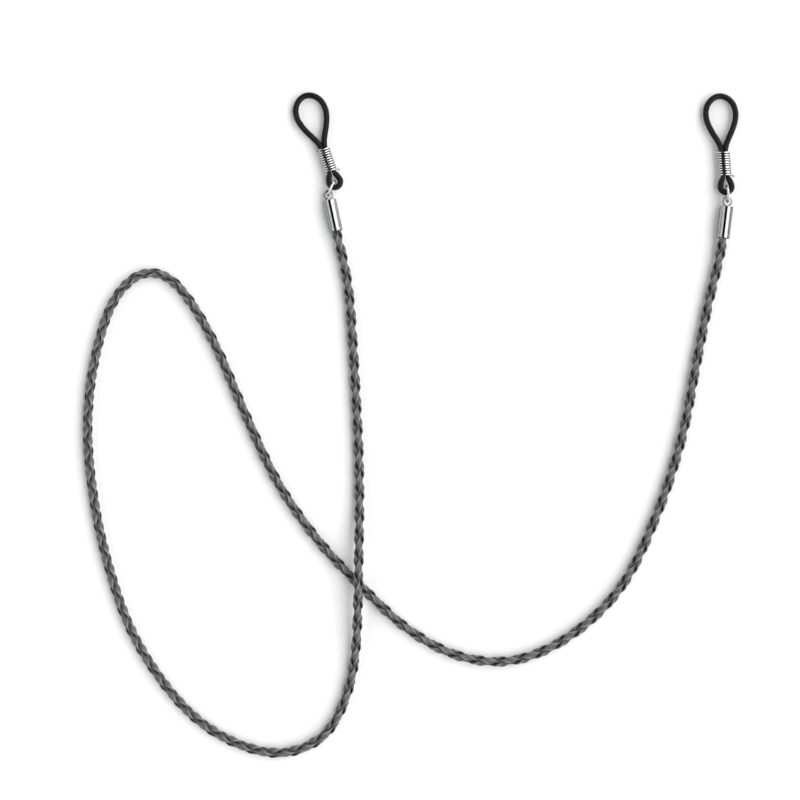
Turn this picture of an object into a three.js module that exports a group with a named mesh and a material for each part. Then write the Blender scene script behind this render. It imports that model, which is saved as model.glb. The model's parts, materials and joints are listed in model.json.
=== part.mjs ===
// Eyeglasses strap: a braided leather cord with a fitting at each end. Each fitting is a metal cap
// glued on the cord, a wire eyelet in the cap, a jump ring, and a rubber loop. A spring coil pinches
// the rubber loop into a small eye, which the jump ring goes through, and a large eye, which grips
// one temple of the glasses. The coil slides along the rubber to tighten the large eye.
//
// The strap lies on a table at z = 0, with +Z up, and the origin is on the table, midway between
// the two fittings. Sizes are in millimetres. Each piece of a fitting is made along its own +Y.
import * as THREE from 'three';

// Braided cord: the round envelope of its four strips
const CORD_DIAMETER = 3.1;
const CORD_SIDES = 8;
const CORD_STEPS = 80;
const CORD_DEPTH_IN_CAP = 6;
const CORD_STRAIGHT_OUT = 2.5;

// End cap: a drawn cup with its mouth towards the cord
const CAP_DIAMETER = 3.9;
const CAP_LENGTH = 9.2;
const CAP_BORE_RADIUS = 1.72;
const CAP_END_WALL = 0.5;
const CAP_END_HOLE_RADIUS = 1.05;
const CAP_CHAMFER = 0.3;
const CAP_SIDES = 16;
const CAP_AXIS_HEIGHT = (CAP_DIAMETER / 2) * Math.cos(Math.PI / CAP_SIDES);

// Glue plug between the end of the cord and the feet of the eyelet
const PLUG_RADIUS = 1.4;
const PLUG_LENGTH = 1.2;
const PLUG_GAP = 0.3;

// Sides of the section of every metal wire
const WIRE_SIDES = 6;

// Eyelet: one wire bent to a round eye with two legs, splayed under the end wall of the cap
const EYELET_WIRE = 0.6;
const EYELET_RADIUS = 1.22;
const EYELET_LEG_OFFSET = 0.6;
const EYELET_NECK = 0.35;
const EYELET_FOOT_SPREAD = 1.15;
const EYELET_FOOT_DROP = 0.4;
const EYELET_BEND_OUT = 0.08;
const EYELET_BEND_UP = 0.15;
const EYELET_LEG_TOP = CAP_LENGTH - 0.2;
const EYELET_STEPS = 36;
const EYELET_EYE_DROP = Math.sqrt(EYELET_RADIUS ** 2 - EYELET_LEG_OFFSET ** 2);
const EYELET_CENTRE = CAP_LENGTH + EYELET_NECK + EYELET_EYE_DROP;

// Jump ring: stands upright through the eyelet and the small eye of the rubber loop
const RING_WIRE = 0.65;
const RING_RADIUS = 2.275;
const RING_CUT = 0.15;
const RING_CUT_ANGLE = 125;
const RING_CLEARANCE = 0.02;
const RING_CENTRE_HEIGHT = RING_RADIUS + RING_WIRE / 2 + RING_CLEARANCE;
const RING_RISE = RING_CENTRE_HEIGHT - CAP_AXIS_HEIGHT;
const RING_REACH = Math.sqrt(RING_RADIUS ** 2 - RING_RISE ** 2);
const RING_STEPS = 32;

// Spring coil: wire wound to a flattened tube around both legs of the rubber loop
const COIL_WIRE = 0.46;
const COIL_PITCH = 0.71;
const COIL_TURNS = 9.5;
const COIL_HALF_WIDTH = 1.67;
const COIL_HALF_HEIGHT = 1.29;
const COIL_CORNER_SHARPNESS = 3;
const COIL_START = 3;
const COIL_LENGTH = COIL_TURNS * COIL_PITCH + COIL_WIRE;
const COIL_STEPS_PER_TURN = 16;

// Rubber loop: one endless strand, squeezed to a narrow oval where the coil grips it
const STRAND_RADIUS = 0.85;
const STRAND_SIDES = 8;
const STRAND_STEPS = 97;
const GRIP_HALF_WIDTH = 0.62;
const GRIP_HALF_HEIGHT = 0.92;
const GRIP_BLEND = 1.3;
const SMALL_EYE_RADIUS = 1.65;
const LEG_OFFSET = 0.68;
const LOOP_TILT = THREE.MathUtils.degToRad(1.2);

// Right half of the loop's centre line, from the small eye to the far end of the large eye
const SMALL_EYE_ANGLES = [-90, -60, -30, 0, 22];
const HALF_LOOP = [
  [1.26, 1.5], [0.82, 2.4], [LEG_OFFSET, 3.2], [LEG_OFFSET, 5], [LEG_OFFSET, 7], [LEG_OFFSET, 9],
  [LEG_OFFSET, 10.8], [0.85, 11.9], [1.6, 13.6], [2.85, 16], [3.9, 18.6], [4.3, 21.1],
  [3.75, 23.7], [2.15, 25.6], [0, 26.3],
];

// Where each fitting lies: the centre of the cap's mouth, and the direction of each link on the
// table, in degrees from +X towards +Y
const FITTINGS = {
  left: { mouth: [-51.7, -19], cap: 102.5, ring: 65, loop: 109 },
  right: { mouth: [60, -21], cap: 83, ring: 95, loop: 94 },
};

// Route of the cord's centre line between the two caps. It lies on the table, and its first half
// passes over its second half in a long low hump.
const LIE = CORD_DIAMETER / 2;
const CROSSING = LIE + CORD_DIAMETER + 0.3;
const CORD_ROUTE = [
  [-50.1, -25.5, 1.75], [-48.3, -34.5, LIE], [-47, -50, LIE], [-46, -67, LIE], [-45.2, -83, LIE],
  [-45, -97, 1.8], [-45.1, -109, 3.5], [-45.3, -121, CROSSING], [-45.6, -133, 3.4],
  [-46.6, -144.5, 1.8], [-49.5, -155.5, LIE], [-55.5, -165.3, LIE], [-67, -170, LIE],
  [-79.5, -167.6, LIE], [-93.5, -158.9, LIE], [-109.5, -137.5, LIE], [-118, -114.2, LIE],
  [-122.2, -93.8, LIE], [-123.6, -73.5, LIE], [-121, -53.5, LIE], [-115.5, -38, LIE],
  [-108.2, -31, LIE], [-100.8, -31.8, LIE], [-94.3, -38.8, LIE], [-86.8, -51.7, LIE],
  [-78, -72, LIE], [-68.2, -92.5, LIE], [-56.3, -109.3, LIE], [-43.6, -122.6, LIE],
  [-30.5, -134.5, LIE], [-16, -142, LIE], [-1, -143.3, LIE], [14.5, -137, LIE],
  [30.2, -122.6, LIE], [41, -101, LIE], [48.3, -78.5, LIE], [52.5, -57, LIE], [56.2, -38.5, LIE],
  [58.6, -29, 1.75],
];

const MATERIALS = {
  leather: new THREE.MeshStandardMaterial({ color: 0x77777a, roughness: 0.6, metalness: 0 }),
  nickel: new THREE.MeshStandardMaterial({ color: 0xa9a9ac, roughness: 0.18, metalness: 1 }),
  steel: new THREE.MeshStandardMaterial({ color: 0xc8c8ca, roughness: 0.22, metalness: 1 }),
  rubber: new THREE.MeshStandardMaterial({ color: 0x151516, roughness: 0.55, metalness: 0 }),
  glue: new THREE.MeshStandardMaterial({ color: 0xd9cfae, roughness: 0.4, metalness: 0 }),
};

// The unit vector on the table at an angle in degrees from +X towards +Y.
function heading(degrees) {
  const angle = THREE.MathUtils.degToRad(degrees);
  return new THREE.Vector3(Math.cos(angle), Math.sin(angle), 0);
}

// Points on a circle in the plane of two unit vectors, from one angle to another in degrees.
function arcPoints(centre, across, along, radius, from, to, count) {
  return Array.from({ length: count + 1 }, (_, index) => {
    const angle = THREE.MathUtils.degToRad(from + ((to - from) * index) / count);
    return centre
      .clone()
      .addScaledVector(across, radius * Math.cos(angle))
      .addScaledVector(along, radius * Math.sin(angle));
  });
}

// A solid round wire or cord along an open path.
function wire(path, diameter, sides, steps) {
  const corners = Array.from({ length: sides }, (_, index) => {
    const angle = ((index + 0.5) / sides) * 2 * Math.PI;
    return new THREE.Vector2(Math.cos(angle), Math.sin(angle)).multiplyScalar(diameter / 2);
  });
  return new THREE.ExtrudeGeometry(new THREE.Shape(corners), { steps, extrudePath: path });
}

function capGeometry() {
  const radius = CAP_DIAMETER / 2;
  const profile = [
    [CAP_BORE_RADIUS, 0],
    [radius, 0],
    [radius, CAP_LENGTH - CAP_CHAMFER],
    [radius - CAP_CHAMFER, CAP_LENGTH],
    [CAP_END_HOLE_RADIUS, CAP_LENGTH],
    [CAP_END_HOLE_RADIUS, CAP_LENGTH - CAP_END_WALL],
    [CAP_BORE_RADIUS, CAP_LENGTH - CAP_END_WALL],
    [CAP_BORE_RADIUS, 0],
  ].map(([across, along]) => new THREE.Vector2(across, along));
  return new THREE.LatheGeometry(profile, CAP_SIDES, Math.PI / CAP_SIDES);
}

function plugGeometry() {
  const plug = new THREE.CylinderGeometry(PLUG_RADIUS, PLUG_RADIUS, PLUG_LENGTH, CAP_SIDES);
  return plug.translate(0, CORD_DEPTH_IN_CAP + PLUG_GAP + PLUG_LENGTH / 2, 0);
}

function eyeletGeometry() {
  const footHeight = CAP_LENGTH - CAP_END_WALL - EYELET_FOOT_DROP;
  const leg = [
    [EYELET_FOOT_SPREAD, footHeight],
    [EYELET_LEG_OFFSET + EYELET_BEND_OUT, footHeight + EYELET_BEND_UP],
    [EYELET_LEG_OFFSET, EYELET_LEG_TOP],
  ];
  const [across, along] = [new THREE.Vector3(1, 0, 0), new THREE.Vector3(0, 1, 0)];
  const opening = THREE.MathUtils.radToDeg(Math.asin(EYELET_LEG_OFFSET / EYELET_RADIUS));
  const eye = arcPoints(
    new THREE.Vector3(0, EYELET_CENTRE, 0), across, along, EYELET_RADIUS,
    -90 - opening, -450 + opening, 12,
  );
  const path = new THREE.CatmullRomCurve3([
    ...leg.map(([x, y]) => new THREE.Vector3(-x, y, 0)),
    ...eye,
    ...leg.toReversed().map(([x, y]) => new THREE.Vector3(x, y, 0)),
  ], false, 'centripetal');
  return wire(path, EYELET_WIRE, WIRE_SIDES, EYELET_STEPS);
}

function ringGeometry() {
  const halfCut = THREE.MathUtils.radToDeg(RING_CUT / 2 / RING_RADIUS);
  const [along, up] = [new THREE.Vector3(0, 1, 0), new THREE.Vector3(0, 0, 1)];
  const centre = new THREE.Vector3(0, RING_REACH, RING_RISE);
  const points = arcPoints(
    centre, along, up, RING_RADIUS, RING_CUT_ANGLE + halfCut, RING_CUT_ANGLE + 360 - halfCut, 24,
  );
  return wire(new THREE.CatmullRomCurve3(points), RING_WIRE, WIRE_SIDES, RING_STEPS);
}

// The centre line of the coil's wire: round a flattened tube, one pitch further at each turn.
class CoilPath extends THREE.Curve {
  getPoint(t, target = new THREE.Vector3()) {
    const angle = t * COIL_TURNS * 2 * Math.PI;
    const flat = COIL_HALF_WIDTH - COIL_HALF_HEIGHT;
    return target.set(
      COIL_HALF_HEIGHT * Math.cos(angle) + flat * Math.tanh(COIL_CORNER_SHARPNESS * Math.cos(angle)),
      COIL_START + COIL_WIRE / 2 + t * COIL_TURNS * COIL_PITCH,
      COIL_HALF_HEIGHT * Math.sin(angle),
    );
  }
}

function coilGeometry() {
  return wire(new CoilPath(), COIL_WIRE, WIRE_SIDES, Math.round(COIL_TURNS * COIL_STEPS_PER_TURN));
}

// How far the coil squeezes the rubber at a height along the loop: 0 is free, 1 is gripped.
function grip(along) {
  const entering = THREE.MathUtils.smoothstep(along, COIL_START - GRIP_BLEND, COIL_START);
  const end = COIL_START + COIL_LENGTH;
  return entering * (1 - THREE.MathUtils.smoothstep(along, end, end + GRIP_BLEND));
}

function loopGeometry() {
  const smallEye = SMALL_EYE_ANGLES.map((angle) => heading(angle).multiplyScalar(SMALL_EYE_RADIUS));
  const rightHalf = [...smallEye, ...HALF_LOOP.map(([x, y]) => new THREE.Vector3(x, y, 0))];
  const leftHalf = rightHalf.slice(1, -1).toReversed().map((p) => new THREE.Vector3(-p.x, p.y, 0));
  const path = new THREE.CatmullRomCurve3([...rightHalf, ...leftHalf], true, 'centripetal');
  const loop = new THREE.TubeGeometry(path, STRAND_STEPS, 1, STRAND_SIDES, true);
  const position = loop.attributes.position;
  for (let step = 0; step <= STRAND_STEPS; step += 1) {
    const place = (step % STRAND_STEPS) / STRAND_STEPS;
    const centre = path.getPointAt(place);
    const tangent = path.getTangentAt(place);
    const side = new THREE.Vector3(tangent.y, -tangent.x, 0);
    const squeeze = grip(centre.y);
    const halfWidth = THREE.MathUtils.lerp(STRAND_RADIUS, GRIP_HALF_WIDTH, squeeze);
    const halfHeight = THREE.MathUtils.lerp(STRAND_RADIUS, GRIP_HALF_HEIGHT, squeeze);
    for (let corner = 0; corner <= STRAND_SIDES; corner += 1) {
      const angle = (((corner % STRAND_SIDES) + 0.5) / STRAND_SIDES) * 2 * Math.PI;
      const point = centre.clone().addScaledVector(side, halfWidth * Math.cos(angle));
      const index = step * (STRAND_SIDES + 1) + corner;
      position.setXYZ(index, point.x, point.y, halfHeight * Math.sin(angle));
    }
  }
  return loop;
}

function piece(name, geometry, material) {
  const mesh = new THREE.Mesh(geometry, material);
  mesh.name = name;
  return mesh;
}

// A frame on the cap's axis height whose +Y points along a heading on the table.
function link(origin, direction) {
  const frame = new THREE.Group();
  frame.position.set(origin.x, origin.y, CAP_AXIS_HEIGHT);
  frame.rotation.z = THREE.MathUtils.degToRad(direction - 90);
  return frame;
}

function fitting(side, { mouth, cap, ring, loop }) {
  const start = new THREE.Vector3(...mouth, 0);
  const eyelet = start.clone().addScaledVector(heading(cap), EYELET_CENTRE);
  const smallEye = eyelet.clone().addScaledVector(heading(ring), 2 * RING_REACH);

  const capLink = link(start, cap);
  capLink.add(
    piece(`${side}_end_cap`, capGeometry(), MATERIALS.nickel),
    piece(`${side}_glue_plug`, plugGeometry(), MATERIALS.glue),
    piece(`${side}_cap_eyelet`, eyeletGeometry(), MATERIALS.nickel),
  );
  const ringLink = link(eyelet, ring);
  ringLink.add(piece(`${side}_jump_ring`, ringGeometry(), MATERIALS.steel));
  const loopLink = link(smallEye, loop);
  const tilted = new THREE.Group();
  tilted.rotation.x = -LOOP_TILT;
  tilted.add(
    piece(`${side}_rubber_loop`, loopGeometry(), MATERIALS.rubber),
    piece(`${side}_spring_coil`, coilGeometry(), MATERIALS.steel),
  );
  loopLink.add(tilted);

  const whole = new THREE.Group();
  whole.add(capLink, ringLink, loopLink);
  return whole;
}

// The end of the cord in a cap, from its deepest point to a little way out of the mouth.
function cordEnd({ mouth, cap }) {
  return [CORD_DEPTH_IN_CAP, CORD_DEPTH_IN_CAP / 2, 0, -CORD_STRAIGHT_OUT].map((depth) =>
    new THREE.Vector3(...mouth, CAP_AXIS_HEIGHT).addScaledVector(heading(cap), depth));
}

function cord() {
  const path = new THREE.CatmullRomCurve3([
    ...cordEnd(FITTINGS.left),
    ...CORD_ROUTE.map((point) => new THREE.Vector3(...point)),
    ...cordEnd(FITTINGS.right).toReversed(),
  ], false, 'centripetal');
  return piece('braided_cord', wire(path, CORD_DIAMETER, CORD_SIDES, CORD_STEPS), MATERIALS.leather);
}

const group = new THREE.Group();
group.add(cord());
for (const [side, places] of Object.entries(FITTINGS)) {
  group.add(fitting(side, places));
}

export default group;
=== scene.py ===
"""The looks of the eyeglasses strap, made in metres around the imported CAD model.

The strap lies on a table. Each end has a cap, an eyelet, a jump ring, a rubber loop and a spring
coil; each is made along its own +Y, as in the CAD, and placed by the joints of the record.
"""
import json
import math

import bpy
import numpy as np
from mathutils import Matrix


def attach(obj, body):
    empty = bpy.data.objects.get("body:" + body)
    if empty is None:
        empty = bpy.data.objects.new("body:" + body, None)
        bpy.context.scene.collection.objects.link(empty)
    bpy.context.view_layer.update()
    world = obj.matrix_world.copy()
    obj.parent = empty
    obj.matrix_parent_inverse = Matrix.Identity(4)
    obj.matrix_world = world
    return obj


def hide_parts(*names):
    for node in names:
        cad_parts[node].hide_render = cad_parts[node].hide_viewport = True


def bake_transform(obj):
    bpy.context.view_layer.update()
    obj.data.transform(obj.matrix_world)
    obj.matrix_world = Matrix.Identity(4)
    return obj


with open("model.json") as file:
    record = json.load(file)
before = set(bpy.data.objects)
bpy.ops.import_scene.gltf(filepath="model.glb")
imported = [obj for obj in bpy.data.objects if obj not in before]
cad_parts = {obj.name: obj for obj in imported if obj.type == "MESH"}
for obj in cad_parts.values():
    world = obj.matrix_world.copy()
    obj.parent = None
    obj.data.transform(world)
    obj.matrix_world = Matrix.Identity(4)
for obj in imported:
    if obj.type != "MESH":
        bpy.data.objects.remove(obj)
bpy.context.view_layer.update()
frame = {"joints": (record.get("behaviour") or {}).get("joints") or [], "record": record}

MM = 0.001
SIDES = ("left", "right")
RECORD = frame["record"]

# --- camera: straight down on the strap, framed as the photograph frames it ---
VIEW_WIDTH = 232 * MM
VIEW_CENTRE = (-33.3 * MM, -67.8 * MM)
LENS = 85
SENSOR = 36

# --- braided cord ---
CORD_DIAMETER = 3.1 * MM
CORD_DEPTH_IN_CAP = 6 * MM
CORD_STRAIGHT_OUT = 2.5 * MM
CORD_STEP = 0.38 * MM
CORD_SMOOTHING = 3 * MM
LAY_LENGTH = 12.6 * MM
STRIP_WIDTH = 1.82 * MM
STRIP_THICKNESS = 0.66 * MM
STRIP_CORNERS = 14
STRIP_SQUARENESS = 0.35
STRIP_CUP_RADIUS = 1.7 * MM
WEAVE_DEPTH = 0.35 * MM
WEAVE_SHARPNESS = 1.5
RAISED_EDGE = 0.13 * MM
BRAID_RADIUS = (CORD_DIAMETER - STRIP_THICKNESS) / 2 - WEAVE_DEPTH - RAISED_EDGE
BRAID_LINGER = 0.3
BRAID_TILT = math.radians(24)
BRAID_ROLL = math.radians(20)
BRAID_ROLL_SWING = math.radians(18)

# --- cap and glue; bore, hole and pinhole are radii, and a shallow groove sets off the lip ---
CAP_LENGTH = 9.2 * MM
CAP_BORE = 1.72 * MM
CAP_END_WALL = 0.5 * MM
CAP_END_HOLE = 1.05 * MM
CAP_LIP = 0.6 * MM
CAP_GROOVE = 0.07 * MM
CAP_GROOVE_SIDE = 0.12 * MM
CAP_ROUNDING = 0.2 * MM
PLUG_RADIUS = 1.6 * MM
PLUG_LENGTH = 1.2 * MM
PLUG_GAP = 0.3 * MM
PLUG_HOLLOW = 0.25 * MM
PLUG_PINHOLE = 0.02 * MM

# --- eyelet and jump ring; a wire's size is its radius ---
EYELET_WIRE = 0.3 * MM
EYELET_RADIUS = 1.22 * MM
EYELET_LEG = 0.6 * MM
EYELET_LEG_TOP = CAP_LENGTH - 0.2 * MM
EYELET_FOOT = 1.15 * MM
EYELET_FOOT_DROP = 0.4 * MM
EYELET_BEND_OUT = 0.08 * MM
EYELET_BEND_UP = 0.15 * MM
EYELET_NECK = 0.35 * MM
EYELET_CENTRE = CAP_LENGTH + EYELET_NECK + math.sqrt(EYELET_RADIUS**2 - EYELET_LEG**2)
EYELET_STEP = 0.1 * MM
RING_WIRE = 0.325 * MM
RING_RADIUS = 2.275 * MM
RING_CUT = 0.1 * MM
RING_CUT_ANGLE = math.radians(125)
RING_CLEARANCE = 0.02 * MM
RING_CENTRE_HEIGHT = RING_RADIUS + RING_WIRE + RING_CLEARANCE
RING_POINTS = 120

# --- spring coil; each tail is given from the end of the wire, as (across, along, up) ---
COIL_WIRE = 0.23 * MM
COIL_PITCH = 0.71 * MM
COIL_TURNS = 9.5
COIL_HALF_WIDTH = 1.67 * MM
COIL_HALF_HEIGHT = 1.29 * MM
COIL_CORNER_SHARPNESS = 3
COIL_START = 3 * MM
COIL_LENGTH = COIL_TURNS * COIL_PITCH + 2 * COIL_WIRE
COIL_LOWER_TAIL = [(0.0009, -0.00035, 0.00025), (0.000405, -0.0002, -0.0001)]
COIL_UPPER_TAIL = [(-0.0002, 0.0001, -0.00015), (-0.000495, 0.0002, 0.0001)]
COIL_STEP = 0.16 * MM
COIL_POINTS_PER_TURN = 44

# --- rubber loop: half of its centre line, from the small eye to the far end of the large eye ---
STRAND_RADIUS = 0.85 * MM
STRAND_CORNERS = 20
STRAND_STEP = 0.22 * MM
GRIP_HALF_WIDTH = 0.64 * MM
GRIP_HALF_HEIGHT = 0.95 * MM
GRIP_BLEND = 1.3 * MM
SMALL_EYE_RADIUS = 1.65 * MM
SMALL_EYE_ANGLES = (-90, -60, -30, 0, 22)
LOOP_LEG = 0.68 * MM
HALF_LOOP = [
    (0.00126, 0.0015), (0.00082, 0.0024), (LOOP_LEG, 0.0032), (LOOP_LEG, 0.005),
    (LOOP_LEG, 0.007), (LOOP_LEG, 0.009), (LOOP_LEG, 0.0108), (0.00085, 0.0119),
    (0.0016, 0.0136), (0.00285, 0.016), (0.0039, 0.0186), (0.0043, 0.0211), (0.00375, 0.0237),
    (0.00215, 0.0256), (0, 0.0263),
]
# Below the first height and above the second, the rubber stays put as the coil slides
SMALL_EYE_HELD = 0.4 * MM
LARGE_EYE_HELD = 26 * MM

# --- route of the cord between the caps, as in the CAD ---
LIE = CORD_DIAMETER / 2
CROSSING = LIE + CORD_DIAMETER + 0.3 * MM
CORD_ROUTE = [
    (-0.0501, -0.0255, 0.00175), (-0.0483, -0.0345, LIE), (-0.047, -0.05, LIE),
    (-0.046, -0.067, LIE), (-0.0452, -0.083, LIE), (-0.045, -0.097, 0.0018),
    (-0.0451, -0.109, 0.0035), (-0.0453, -0.121, CROSSING), (-0.0456, -0.133, 0.0034),
    (-0.0466, -0.1445, 0.0018), (-0.0495, -0.1555, LIE), (-0.0555, -0.1653, LIE),
    (-0.067, -0.17, LIE), (-0.0795, -0.1676, LIE), (-0.0935, -0.1589, LIE),
    (-0.1095, -0.1375, LIE), (-0.118, -0.1142, LIE), (-0.1222, -0.0938, LIE),
    (-0.1236, -0.0735, LIE), (-0.121, -0.0535, LIE), (-0.1155, -0.038, LIE),
    (-0.1082, -0.031, LIE), (-0.1008, -0.0318, LIE), (-0.0943, -0.0388, LIE),
    (-0.0868, -0.0517, LIE), (-0.078, -0.072, LIE), (-0.0682, -0.0925, LIE),
    (-0.0563, -0.1093, LIE), (-0.0436, -0.1226, LIE), (-0.0305, -0.1345, LIE),
    (-0.016, -0.142, LIE), (-0.001, -0.1433, LIE), (0.0145, -0.137, LIE),
    (0.0302, -0.1226, LIE), (0.041, -0.101, LIE), (0.0483, -0.0785, LIE), (0.0525, -0.057, LIE),
    (0.0562, -0.0385, LIE), (0.0586, -0.029, 0.00175),
]

# --- studio: brightness of the sky from its left edge, 0, to its right edge, 1 ---
SKY = [
    (0.0, 0.2), (0.05, 1.0), (0.12, 1.4), (0.24, 1.5), (0.27, 0.01), (0.6, 0.01), (0.625, 2.9),
    (0.92, 2.7), (0.965, 0.5), (1.0, 0.2),
]
FLOOR_HALF_SIDE = 1.5


# ---------------------------------------------------------------- places of the links

class Link:
    """A frame whose origin is on a link's axis and whose +Y runs along the link."""

    def __init__(self, origin, along):
        self.origin = np.array(origin, float)
        self.along = np.array(along, float) / np.linalg.norm(along)
        self.across = np.cross(self.along, (0, 0, 1))
        self.across /= np.linalg.norm(self.across)
        self.up = np.cross(self.across, self.along)

    def place(self, points):
        """Points given as (across, along, up), moved to where they are on the strap."""
        axes = np.array([self.across, self.along, self.up])
        return self.origin + np.asarray(points, float) @ axes


def joint(name):
    return next(j for j in frame["joints"] if j["name"] == name)


def mount(name):
    return next(m for m in RECORD["mounts"] if m["name"] == name)


def links(side):
    """The cap's link from its mouth, the ring's from the eyelet, and the loop's from the ring."""
    eyelet = np.array(joint(f"{side}_ring_swing")["pos_m"])
    small_eye = np.array(joint(f"{side}_loop_swing")["pos_m"])
    cap_along = eyelet - np.array(mount(f"{side}_cap_rest")["pos_m"])
    cap_along[2] = 0
    cap_along /= np.linalg.norm(cap_along)
    mouth = eyelet - cap_along * EYELET_CENTRE
    return {
        "cap": Link(mouth, cap_along),
        "ring": Link(eyelet, small_eye - eyelet),
        "loop": Link(small_eye, joint(f"{side}_coil_slide")["axis"]),
    }


LINKS = {side: links(side) for side in SIDES}


# ---------------------------------------------------------------- curves

def spline(points, closed=False, per_span=24):
    """A centripetal Catmull-Rom curve through the points, as the CAD's curves are."""
    p = np.asarray(points, float)
    if closed:
        p = np.vstack([p[-1], p, p[0], p[1]])
    else:
        p = np.vstack([2 * p[0] - p[1], p, 2 * p[-1] - p[-2]])
    t = np.linspace(0, 1, per_span, endpoint=False)[:, None]
    spans = []
    for a, b, c, d in zip(p, p[1:], p[2:], p[3:]):
        ab, bc, cd = (math.sqrt(np.linalg.norm(v)) for v in (b - a, c - b, d - c))
        start = ((b - a) / ab - (c - a) / (ab + bc) + (c - b) / bc) * bc
        end = ((c - b) / bc - (d - b) / (bc + cd) + (d - c) / cd) * bc
        spans.append(
            b + start * t + (3 * (c - b) - 2 * start - end) * t**2
            + (2 * (b - c) + start + end) * t**3
        )
    if not closed:
        spans.append(p[-2][None])
    return np.vstack(spans)


def lengths(path):
    """How far along the path each of its points is."""
    return np.concatenate([[0], np.cumsum(np.linalg.norm(np.diff(path, axis=0), axis=1))])


def even(path, step):
    """The same line with points a step apart."""
    along = lengths(path)
    count = max(2, round(along[-1] / step) + 1)
    wanted = np.linspace(0, along[-1], count)
    return np.column_stack([np.interp(wanted, along, path[:, k]) for k in range(3)])


def smoothed(path, reach):
    """The line with its small kinks rounded over about the reach, and its ends kept."""
    step = np.linalg.norm(path[1] - path[0])
    half = int(3 * reach / step)
    weights = np.exp(-0.5 * (np.arange(-half, half + 1) * step / reach) ** 2)
    weights /= weights.sum()
    before = 2 * path[0] - path[half:0:-1]
    after = 2 * path[-1] - path[-2:-half - 2:-1]
    padded = np.vstack([before, path, after])
    return np.column_stack([np.convolve(padded[:, k], weights, "valid") for k in range(3)])


def unit(vectors):
    return vectors / np.linalg.norm(vectors, axis=-1, keepdims=True)


def tangents(path):
    return unit(np.gradient(path, axis=0))


# ---------------------------------------------------------------- meshes

def make_piece(name, vertices, faces, material, values=None):
    """A smooth mesh object. values maps an attribute's name to one number per vertex."""
    mesh = bpy.data.meshes.new(name)
    mesh.from_pydata(np.asarray(vertices, float).tolist(), [], faces)
    mesh.materials.append(material)
    for attribute, numbers in (values or {}).items():
        layer = mesh.attributes.new(attribute, "FLOAT", "POINT")
        layer.data.foreach_set("value", np.asarray(numbers, np.float32).ravel())
    mesh.polygons.foreach_set("use_smooth", [True] * len(mesh.polygons))
    mesh.update()
    piece = bpy.data.objects.new(name, mesh)
    bpy.context.scene.collection.objects.link(piece)
    return piece


def skin(rings, corners, closed, first=0):
    """Faces over rings of corners: quads along them, and an end face on each open end."""
    faces = []
    for ring in range(rings if closed else rings - 1):
        here, there = first + ring * corners, first + ((ring + 1) % rings) * corners
        for corner in range(corners):
            after = (corner + 1) % corners
            faces.append((here + corner, here + after, there + after, there + corner))
    if not closed:
        last = first + (rings - 1) * corners
        faces.append(tuple(range(first + corners - 1, first - 1, -1)))
        faces.append(tuple(range(last, last + corners)))
    return faces


def circle(corners):
    angles = np.arange(corners) / corners * 2 * math.pi
    return np.column_stack([np.cos(angles), np.sin(angles)])


def rounded_square(corners, power):
    """A unit square with rounded corners: a power of 1 is a circle, and lower is squarer."""
    points = circle(corners)
    return np.sign(points) * np.abs(points) ** power


def round_wire(name, path, radius, material, corners=16, tip=0.5):
    """A round wire along a path, its section carried along without twist.

    Its ends are rounded: tip is their length over the radius.
    """
    t = tangents(path)
    # The scale of each ring of a rounded end, from nearly full size down to a third
    tips = np.sin(np.linspace(math.pi / 2, 0.12, 6)[1:]) ** 0.5
    bulges = np.sqrt(1 - tips**4)[:, None] * radius * tip
    path = np.vstack([path[0] - t[0] * bulges[::-1], path, path[-1] + t[-1] * bulges])
    t = np.vstack([np.repeat(t[:1], len(tips), axis=0), t, np.repeat(t[-1:], len(tips), axis=0)])
    radii = radius * np.concatenate([tips[::-1], np.ones(len(path) - 2 * len(tips)), tips])
    side = np.cross(t[0], (0, 0, 1) if abs(t[0][2]) < 0.9 else (1, 0, 0))
    sides = [side / np.linalg.norm(side)]
    for direction in t[1:]:
        side = sides[-1] - direction * (sides[-1] @ direction)
        sides.append(side / np.linalg.norm(side))
    sides = np.array(sides)
    ups = np.cross(sides, t)
    section = circle(corners)[None] * radii[:, None, None]
    vertices = path[:, None] + section[:, :, :1] * sides[:, None] + section[:, :, 1:] * ups[:, None]
    faces = skin(len(path), corners, closed=False)
    return make_piece(name, vertices.reshape(-1, 3), faces, material)


def fillet(profile, radius, steps):
    """A closed profile with its corners rounded."""
    p = np.asarray(profile, float)
    points = []
    for before, corner, after in zip(np.roll(p, 1, axis=0), p, np.roll(p, -1, axis=0)):
        back, on = before - corner, after - corner
        # Just under half of each side, so that two corners' roundings never meet
        reach = min(radius, np.linalg.norm(back) / 2.01, np.linalg.norm(on) / 2.01)
        start, end = corner + unit(back) * reach, corner + unit(on) * reach
        for t in np.linspace(0, 1, steps):
            points.append((1 - t) ** 2 * start + 2 * t * (1 - t) * corner + t**2 * end)
    return np.array(points)


def lathe(name, profile, link, material, segments):
    """A closed profile of (radius, along) turned round a link's axis."""
    angles = np.arange(segments) / segments * 2 * math.pi
    radius, along = np.asarray(profile).T
    local = np.stack([
        np.cos(angles)[:, None] * radius,
        np.broadcast_to(along, (segments, len(along))),
        np.sin(angles)[:, None] * radius,
    ], axis=-1)
    faces = [tuple(reversed(face)) for face in skin(segments, len(along), closed=True)]
    return make_piece(name, link.place(local.reshape(-1, 3)), faces, material)


# ---------------------------------------------------------------- materials

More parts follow.
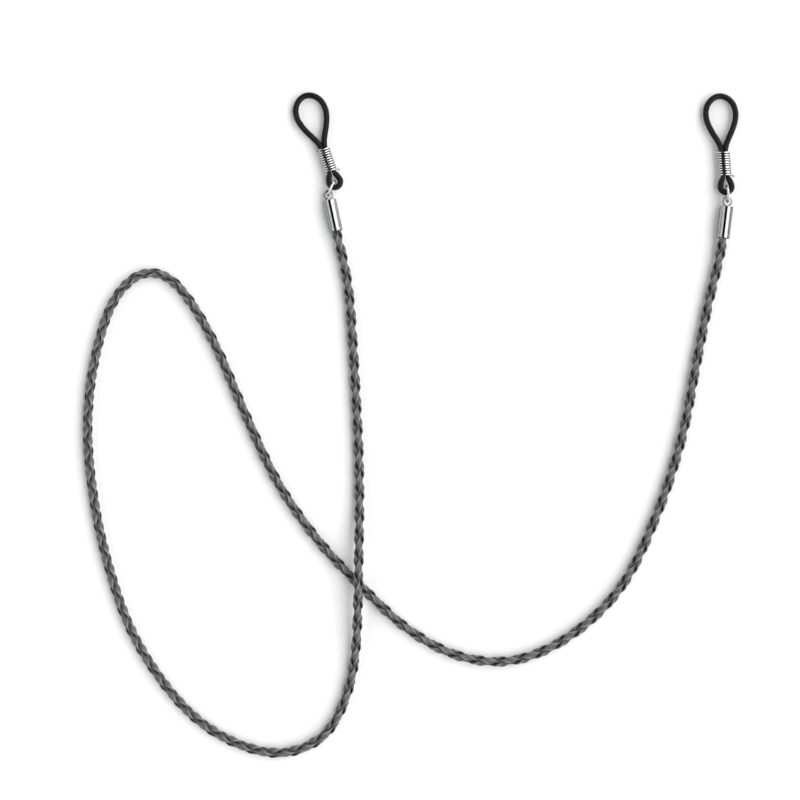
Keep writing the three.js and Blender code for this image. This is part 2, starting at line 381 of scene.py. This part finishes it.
class Shader:
    """A material's node tree, with short names for what every material here uses."""

    # The Mix node has sockets for each kind of value, and these are its colour ones
    MIX_A, MIX_B, MIX_RESULT = 6, 7, 2

    def __init__(self, name, **uniform):
        self.material = bpy.data.materials.new(name)
        self.material.use_nodes = True
        self.tree = self.material.node_tree
        self.shader = self.tree.nodes["Principled BSDF"]
        for socket, value in uniform.items():
            self.shader.inputs[socket.replace("_", " ")].default_value = value
        self.place = self.node("ShaderNodeTexCoord").outputs["Object"]

    def node(self, kind, **settings):
        node = self.tree.nodes.new(kind)
        for key, value in settings.items():
            setattr(node, key, value)
        return node

    def feed(self, value, socket):
        """A number or colour goes into the socket, and another node's output is linked to it."""
        if isinstance(value, (int, float, tuple)):
            socket.default_value = value
        else:
            self.tree.links.new(value, socket)

    def noise(self, size, detail=3, stretch=(1, 1, 1)):
        """Noise whose features are about this size, in metres."""
        mapping = self.node("ShaderNodeMapping")
        self.feed(self.place, mapping.inputs["Vector"])
        self.feed(tuple(1 / (size * s) for s in stretch), mapping.inputs["Scale"])
        noise = self.node("ShaderNodeTexNoise")
        self.feed(mapping.outputs[0], noise.inputs["Vector"])
        self.feed(1, noise.inputs["Scale"])
        self.feed(detail, noise.inputs["Detail"])
        return noise.outputs["Fac"]

    def cells(self, size, feature="F1"):
        """How far a point is from the middle or the edge of a cell of wavy-sided grain."""
        # Waves a little finer than the cells move the place that each cell is looked up at
        waves = self.node("ShaderNodeTexNoise")
        self.feed(self.place, waves.inputs["Vector"])
        self.feed(1.3 / size, waves.inputs["Scale"])
        bend = self.node("ShaderNodeVectorMath", operation="MULTIPLY_ADD")
        self.feed(waves.outputs["Color"], bend.inputs[0])
        self.feed((size, size, size), bend.inputs[1])
        self.feed(self.place, bend.inputs[2])
        cells = self.node("ShaderNodeTexVoronoi", feature=feature)
        self.feed(bend.outputs[0], cells.inputs["Vector"])
        self.feed(1 / size, cells.inputs["Scale"])
        return cells.outputs["Distance"]

    def attribute(self, name):
        return self.node("ShaderNodeAttribute", attribute_name=name).outputs["Fac"]

    def calculate(self, operation, a, b):
        node = self.node("ShaderNodeMath", operation=operation)
        self.feed(a, node.inputs[0])
        self.feed(b, node.inputs[1])
        return node.outputs[0]

    def ramp(self, value, low, high, from_low=0.0, from_high=1.0):
        """The value, clamped between from_low and from_high, turned to one from low to high."""
        node = self.node("ShaderNodeMapRange")
        sockets = {
            "Value": value, "From Min": from_low, "From Max": from_high, "To Min": low, "To Max": high,
        }
        for name, number in sockets.items():
            self.feed(number, node.inputs[name])
        return node.outputs["Result"]

    def mix(self, factor, a, b):
        node = self.node("ShaderNodeMix", data_type="RGBA")
        self.feed(factor, node.inputs["Factor"])
        self.feed(a, node.inputs[self.MIX_A])
        self.feed(b, node.inputs[self.MIX_B])
        return node.outputs[self.MIX_RESULT]

    def bump(self, heights):
        """Bumps from (height, depth in metres) pairs, one over the other."""
        normal = None
        for height, depth in heights:
            node = self.node("ShaderNodeBump")
            self.feed(1, node.inputs["Strength"])
            self.feed(depth, node.inputs["Distance"])
            self.feed(height, node.inputs["Height"])
            if normal is not None:
                self.feed(normal, node.inputs["Normal"])
            normal = node.outputs["Normal"]
        self.set("Normal", normal)

    def set(self, socket, value):
        self.feed(value, self.shader.inputs[socket])


def grey(value, tint=0.0):
    """A grey, or with a tint above 0 a slightly blue one."""
    return (value * (1 - tint), value, value * (1 + tint), 1.0)


def leather_material():
    """Grey pressed leather: fine grain, a little mottled, with painted shade under the strips and in
    the gaps between them, and pale cut edges with a painted highlight on their outer top corners.
    """
    s = Shader("braid_leather", Specular_IOR_Level=0.5, Sheen_Weight=0.06, Sheen_Roughness=0.4)
    pores = s.ramp(s.cells(0.2 * MM, "DISTANCE_TO_EDGE"), 1.0, 0.0, 0.0, 0.2)
    mottle = s.ramp(s.noise(1.1 * MM, detail=4), 0.0, 1.0, 0.35, 0.65)
    blotches = s.ramp(s.noise(0.3 * MM, detail=4), 0.0, 0.8, 0.42, 0.64)
    flecks = s.ramp(s.noise(0.42 * MM), 0.0, 0.6, 0.56, 0.7)
    # A pale mark on the strips' outer top corners: partly the leather's pale cut edge, partly a
    # painted highlight where light catches them
    pale_cut_edge_and_highlight = s.calculate("MULTIPLY", s.attribute("highlit_rim"), 0.5)
    # Painted shade on the strips' undersides
    painted_underside_shade = s.calculate("MULTIPLY", s.attribute("shaded_underside"), 0.9)
    # Painted shade in the gaps between strips, darker the deeper the leather lies in the cord
    painted_gap_shade = s.ramp(s.attribute("depth"), 1.0, 0.0, 0.52, 0.98)
    colour = s.mix(mottle, grey(0.1), grey(0.185))
    layers = [
        (blotches, 0.05), (flecks, 0.28), (s.calculate("MULTIPLY", pores, 0.3), 0.04),
        (pale_cut_edge_and_highlight, 0.34), (painted_underside_shade, 0.01), (painted_gap_shade, 0.004),
    ]
    for amount, shade in layers:
        colour = s.mix(amount, colour, grey(shade))
    s.set("Base Color", colour)
    s.set("Roughness", s.ramp(s.noise(0.5 * MM), 0.38, 0.58, 0.3, 0.7))
    between_pores = s.calculate("SUBTRACT", 1.0, pores)
    s.bump([(between_pores, 0.02 * MM), (s.noise(0.3 * MM, detail=5), 0.05 * MM)])
    return s.material


def metal_material(name, value, roughness, brush):
    """Polished plated metal with faint draw marks along the piece and a few duller patches."""
    s = Shader(name, Metallic=1.0, Specular_Tint=grey(0.25))
    marks = s.noise(0.05 * MM, detail=2, stretch=brush)
    patches = s.noise(0.9 * MM)
    dullness = s.ramp(patches, 0.0, 1.0, 0.35, 0.75)
    s.set("Base Color", s.mix(dullness, grey(value, 0.01), grey(value * 0.82)))
    rough_marks = s.ramp(marks, 0.0, 0.05)
    rough_patches = s.ramp(patches, roughness, roughness + 0.06)
    s.set("Roughness", s.calculate("ADD", rough_marks, rough_patches))
    s.bump([(marks, 0.0008 * MM), (patches, 0.003 * MM)])
    return s.material


def rubber_material():
    """Black moulded rubber: satin, faintly dusty, with a fine even texture."""
    s = Shader("loop_rubber", Specular_IOR_Level=0.2)
    dust = s.ramp(s.noise(0.7 * MM, detail=5), 0.0, 1.0, 0.45, 0.8)
    s.set("Base Color", s.mix(dust, grey(0.003), grey(0.009)))
    s.set("Roughness", s.ramp(s.noise(0.3 * MM), 0.38, 0.55, 0.3, 0.7))
    s.bump([(s.noise(0.09 * MM), 0.006 * MM)])
    return s.material


def glue_material():
    """Hard amber glue with small bubbles."""
    s = Shader("glue", Specular_IOR_Level=0.5, Coat_Weight=0.3)
    bubbles = s.ramp(s.cells(0.35 * MM), 0.0, 1.0, 0.0, 0.5)
    s.set("Base Color", s.mix(bubbles, (0.35, 0.27, 0.13, 1), (0.62, 0.53, 0.34, 1)))
    s.set("Roughness", s.ramp(bubbles, 0.2, 0.45))
    s.bump([(bubbles, 0.02 * MM)])
    return s.material


def paper_material():
    s = Shader("floor", Roughness=0.9, Specular_IOR_Level=0.1)
    s.set("Base Color", s.mix(s.noise(0.6 * MM, detail=2), grey(0.94), grey(0.97)))
    return s.material


MATERIALS = {
    "braid_leather": leather_material(),
    "cap_nickel": metal_material("cap_nickel", 0.4, 0.07, brush=(1, 30, 1)),
    "wire_steel": metal_material("wire_steel", 0.7, 0.1, brush=(6, 6, 6)),
    "loop_rubber": rubber_material(),
    "glue": glue_material(),
}


def settle(piece, body, slot, *nodes):
    """Puts a piece on its body, in place of its CAD nodes. The slot is not used."""
    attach(piece, body)
    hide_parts(*nodes)


# ---------------------------------------------------------------- camera

def make_camera():
    data = bpy.data.cameras.new("camera")
    data.lens, data.sensor_width = LENS, SENSOR
    camera = bpy.data.objects.new("camera", data)
    camera.location = (*VIEW_CENTRE, VIEW_WIDTH * LENS / SENSOR)
    bpy.context.scene.collection.objects.link(camera)
    bpy.context.scene.camera = camera


# ---------------------------------------------------------------- braided cord

def cord_path():
    """The cord's centre line, from deep in the left cap to deep in the right one."""
    depths = (CORD_DEPTH_IN_CAP, CORD_DEPTH_IN_CAP / 2, 0, -CORD_STRAIGHT_OUT)
    inside = [(0, depth, 0) for depth in depths]
    left, right = (LINKS[side]["cap"].place(inside) for side in SIDES)
    through = np.vstack([left, CORD_ROUTE, right[::-1]])
    return smoothed(even(spline(through), CORD_STEP), CORD_SMOOTHING)


def make_strip(path, direction, phase, across, out):
    """The points of one strip, which winds round the path and weaves in and out of the others.

    across and out are its section, out from the cord. The strip lingers where it crosses on the
    outside, and leans there so that one of its edges stands up.
    """
    along = lengths(path)
    t = tangents(path)
    side = unit(np.cross(t, (0, 0, 1)))
    up = np.cross(side, t)
    turn = 2 * math.pi / LAY_LENGTH * along
    roll = BRAID_ROLL - BRAID_ROLL_SWING * np.cos(2 * math.pi * along / along[-1])
    angle = direction * turn - BRAID_LINGER * np.sin(2 * turn) + phase + roll
    radial = np.cos(angle)[:, None] * side + np.sin(angle)[:, None] * up
    weave = np.tanh(WEAVE_SHARPNESS * np.cos(2 * turn)) / math.tanh(WEAVE_SHARPNESS)
    centre = path + (BRAID_RADIUS + direction * WEAVE_DEPTH * weave)[:, None] * radial

    strip_along = tangents(centre)
    strip_out = unit(radial - strip_along * np.sum(radial * strip_along, axis=1)[:, None])
    strip_across = np.cross(strip_out, strip_along)
    tilt = (BRAID_TILT * np.sin(2 * turn))[:, None]
    leaned_across = strip_across * np.cos(tilt) - strip_out * np.sin(tilt)
    leaned_out = strip_out * np.cos(tilt) + strip_across * np.sin(tilt)
    return (centre[:, None] - across[None, :, None] * leaned_across[:, None]
            + out[None, :, None] * leaned_out[:, None])


def make_cord():
    """Four flat strips in a round braid: two turn each way, each over one and under the next."""
    path = cord_path()
    section = rounded_square(STRIP_CORNERS, STRIP_SQUARENESS)
    across = section[:, 0] * STRIP_WIDTH / 2
    out = section[:, 1] * STRIP_THICKNESS / 2 - across**2 / (2 * STRIP_CUP_RADIUS)
    strips = np.array([
        make_strip(path, direction, phase, across, out)
        for direction in (1, -1) for phase in (0, math.pi)
    ])
    faces = []
    for strip in range(len(strips)):
        first = strip * len(path) * STRIP_CORNERS
        faces += skin(len(path), STRIP_CORNERS, closed=False, first=first)

    # Where the strips' outer top corners are pale, partly cut edge and partly painted highlight; where
    # their undersides get painted shade; and how near the outside of the cord the leather lies, for
    # painted shade in the gaps
    highlit_rim = (np.abs(section[:, 0]) > 0.8) & (section[:, 1] > 0.3)
    shaded_underside = np.clip(0.5 - section[:, 1], 0, 1)
    rings = len(strips) * len(path)
    values = {
        "highlit_rim": np.tile(highlit_rim, rings),
        "shaded_underside": np.tile(shaded_underside, rings),
        "depth": np.linalg.norm(strips - path[None, :, None], axis=3) / (CORD_DIAMETER / 2),
    }
    leather = MATERIALS["braid_leather"]
    cord = make_piece("braided_strips", strips.reshape(-1, 3), faces, leather, values)
    settle(cord, "strap", "braid_leather", "braided_cord")


# ---------------------------------------------------------------- fittings

def make_cap(side):
    """A drawn tube with a rolled lip at its mouth and a small hole in its closed end."""
    link = LINKS[side]["cap"]
    radius = link.origin[2]
    profile = [
        (CAP_BORE, 0),
        (radius, 0),
        (radius, CAP_LIP),
        (radius - CAP_GROOVE, CAP_LIP + CAP_GROOVE_SIDE),
        (radius - CAP_GROOVE, CAP_LIP + 2 * CAP_GROOVE_SIDE),
        (radius, CAP_LIP + 3 * CAP_GROOVE_SIDE),
        (radius, CAP_LENGTH),
        (CAP_END_HOLE, CAP_LENGTH),
        (CAP_END_HOLE, CAP_LENGTH - CAP_END_WALL),
        (CAP_BORE, CAP_LENGTH - CAP_END_WALL),
    ]
    rounded = fillet(profile, CAP_ROUNDING, steps=5)
    cap = lathe(f"{side}_cap_shell", rounded, link, MATERIALS["cap_nickel"], segments=96)
    settle(cap, "strap", "cap_nickel", f"{side}_end_cap")


def make_plug(side):
    """Set glue between the end of the cord and the eyelet's feet, hollowed at both faces."""
    near = CORD_DEPTH_IN_CAP + PLUG_GAP
    far = near + PLUG_LENGTH
    across = np.linspace(PLUG_PINHOLE, PLUG_RADIUS, 10)
    hollow = PLUG_HOLLOW * (1 - (across / PLUG_RADIUS) ** 2)
    profile = [*zip(across, near + hollow), *zip(across[::-1], far - hollow[::-1])]
    plug = lathe(f"{side}_glue_fill", profile, LINKS[side]["cap"], MATERIALS["glue"], segments=48)
    settle(plug, "strap", "glue", f"{side}_glue_plug")


def make_eyelet(side):
    """A bent wire: a round eye, two legs through the cap's end, and feet splayed inside it."""
    foot = CAP_LENGTH - CAP_END_WALL - EYELET_FOOT_DROP
    leg = [
        (EYELET_FOOT, foot),
        (EYELET_LEG + EYELET_BEND_OUT, foot + EYELET_BEND_UP),
        (EYELET_LEG, EYELET_LEG_TOP),
    ]
    opening = math.asin(EYELET_LEG / EYELET_RADIUS)
    angles = np.linspace(-math.pi / 2 - opening, -5 * math.pi / 2 + opening, 25)
    eye = [(EYELET_RADIUS * math.cos(a), EYELET_CENTRE + EYELET_RADIUS * math.sin(a)) for a in angles]
    line = [(-x, y) for x, y in leg] + eye + leg[::-1]
    path = even(spline([(x, y, 0) for x, y in line]), EYELET_STEP)
    placed = LINKS[side]["cap"].place(path)
    eyelet = round_wire(f"{side}_eyelet_wire", placed, EYELET_WIRE, MATERIALS["cap_nickel"])
    settle(eyelet, "strap", "cap_nickel", f"{side}_cap_eyelet")


def make_ring(side):
    """A cut ring standing upright through the eyelet and the rubber loop's small eye."""
    link = LINKS[side]["ring"]
    rise = RING_CENTRE_HEIGHT - link.origin[2]
    reach = math.sqrt(RING_RADIUS**2 - rise**2)
    half_cut = RING_CUT / 2 / RING_RADIUS
    angles = RING_CUT_ANGLE + np.linspace(half_cut, 2 * math.pi - half_cut, RING_POINTS)
    path = [(0, reach + RING_RADIUS * math.cos(a), rise + RING_RADIUS * math.sin(a)) for a in angles]
    steel = MATERIALS["wire_steel"]
    ring = round_wire(f"{side}_ring_wire", link.place(path), RING_WIRE, steel, tip=0.1)
    settle(ring, f"{side}_ring", "wire_steel", f"{side}_jump_ring")


def make_coil(side):
    """The coil's wire, round a flattened tube, with its cut ends bent out as short tails."""
    turns = np.linspace(0, COIL_TURNS * 2 * math.pi, int(COIL_TURNS * COIL_POINTS_PER_TURN))
    flat = COIL_HALF_WIDTH - COIL_HALF_HEIGHT
    body = np.column_stack([
        COIL_HALF_HEIGHT * np.cos(turns) + flat * np.tanh(COIL_CORNER_SHARPNESS * np.cos(turns)),
        COIL_START + COIL_WIRE + turns / (2 * math.pi) * COIL_PITCH,
        COIL_HALF_HEIGHT * np.sin(turns),
    ])
    through = np.vstack([body[0] + COIL_LOWER_TAIL, body[2:-2], body[-1] + COIL_UPPER_TAIL])
    path = LINKS[side]["loop"].place(even(spline(through, per_span=3), COIL_STEP))
    coil = round_wire(f"{side}_coil_wire", path, COIL_WIRE, MATERIALS["wire_steel"], corners=12)
    settle(coil, f"{side}_slider", "wire_steel", f"{side}_spring_coil")


def ease(value, low, high):
    """0 up to low, 1 from high on, and a smooth rise between them."""
    t = np.clip((value - low) / (high - low), 0, 1)
    return t * t * (3 - 2 * t)


def grip(along):
    """How far the coil squeezes the rubber at a height along the loop: 0 is free, 1 is gripped."""
    end = COIL_START + COIL_LENGTH
    entering = ease(along, COIL_START - GRIP_BLEND, COIL_START)
    return entering * (1 - ease(along, end, end + GRIP_BLEND))


def loop_line():
    """The rubber's centre line, once round from the bottom of the small eye."""
    angles = np.radians(SMALL_EYE_ANGLES)
    small_eye = [(SMALL_EYE_RADIUS * math.cos(a), SMALL_EYE_RADIUS * math.sin(a)) for a in angles]
    right = small_eye + HALF_LOOP
    left = [(-x, y) for x, y in right[-2:0:-1]]
    return even(spline([(x, y, 0) for x, y in right + left], closed=True), STRAND_STEP)


def make_strand(name, path, link):
    """A stretch of the rubber along a path in the loop's plane, squeezed where the coil grips it."""
    t = tangents(path)
    sides = np.column_stack([t[:, 1], -t[:, 0], np.zeros(len(t))])
    squeeze = grip(path[:, 1])
    width = STRAND_RADIUS + (GRIP_HALF_WIDTH - STRAND_RADIUS) * squeeze
    height = STRAND_RADIUS + (GRIP_HALF_HEIGHT - STRAND_RADIUS) * squeeze
    section = circle(STRAND_CORNERS)
    points = path[:, None] + section[None, :, :1] * (width[:, None] * sides)[:, None]
    points[:, :, 2] += section[None, :, 1] * height[:, None]
    faces = skin(len(path), STRAND_CORNERS, closed=False)
    return make_piece(name, link.place(points.reshape(-1, 3)), faces, MATERIALS["loop_rubber"])


def make_loop(side):
    """The rubber strand as two pieces that meet inside the coil."""
    link = LINKS[side]["loop"]
    line = loop_line()
    coil_end = COIL_START + COIL_LENGTH
    upper = line[:, 1] > (COIL_START + coil_end) / 2
    first, last = np.flatnonzero(upper)[[0, -1]]
    lower_path = np.vstack([line[last:], line[1:first + 1]])
    upper_path = line[first:last + 1]

    small_eye = make_strand(f"{side}_small_eye_rubber", lower_path, link)
    large_eye = make_strand(f"{side}_large_eye_rubber", upper_path, link)
    for strand in (small_eye, large_eye):
        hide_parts(f"{side}_rubber_loop")
    link.place((0, SMALL_EYE_HELD, 0))
    link.place((0, COIL_START, 0))
    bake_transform(small_eye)
    link.place((0, coil_end, 0))
    link.place((0, LARGE_EYE_HELD, 0))
    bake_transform(large_eye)


# ---------------------------------------------------------------- stage

def make_studio():
    """A white tent lit from both sides, open along the middle of its roof, which stays dark."""
    world = bpy.data.worlds.new("studio")
    world.use_nodes = True
    tree = world.node_tree
    direction = tree.nodes.new("ShaderNodeTexCoord").outputs["Generated"]
    xyz = tree.nodes.new("ShaderNodeSeparateXYZ")
    tree.links.new(direction, xyz.inputs[0])
    ramp = tree.nodes.new("ShaderNodeValToRGB")
    while len(ramp.color_ramp.elements) < len(SKY):
        ramp.color_ramp.elements.new(0.5)
    for element, (place, value) in zip(ramp.color_ramp.elements, SKY):
        element.position = place
        element.color = grey(value)
    # X runs from -1 at the left to 1 at the right, and a place on the ramp from 0 to 1
    place_on_ramp = tree.nodes.new("ShaderNodeMath")
    place_on_ramp.operation = "MULTIPLY_ADD"
    place_on_ramp.inputs[1].default_value = 0.5
    place_on_ramp.inputs[2].default_value = 0.5
    tree.links.new(xyz.outputs["X"], place_on_ramp.inputs[0])
    tree.links.new(place_on_ramp.outputs[0], ramp.inputs[0])
    tree.links.new(ramp.outputs[0], tree.nodes["Background"].inputs["Color"])
    bpy.context.scene.world = world


def make_floor():
    side = FLOOR_HALF_SIDE
    corners = [(-side, -side, 0), (side, -side, 0), (side, side, 0), (-side, side, 0)]
    floor = make_piece("floor", corners, [(0, 1, 2, 3)], paper_material())


# ---------------------------------------------------------------- the strap

make_camera()
make_cord()
for side in SIDES:
    make_cap(side)
    make_plug(side)
    make_eyelet(side)
    make_ring(side)
    make_coil(side)
    make_loop(side)
make_floor()
make_studio()
bpy.context.scene.view_settings.view_transform = "Standard"
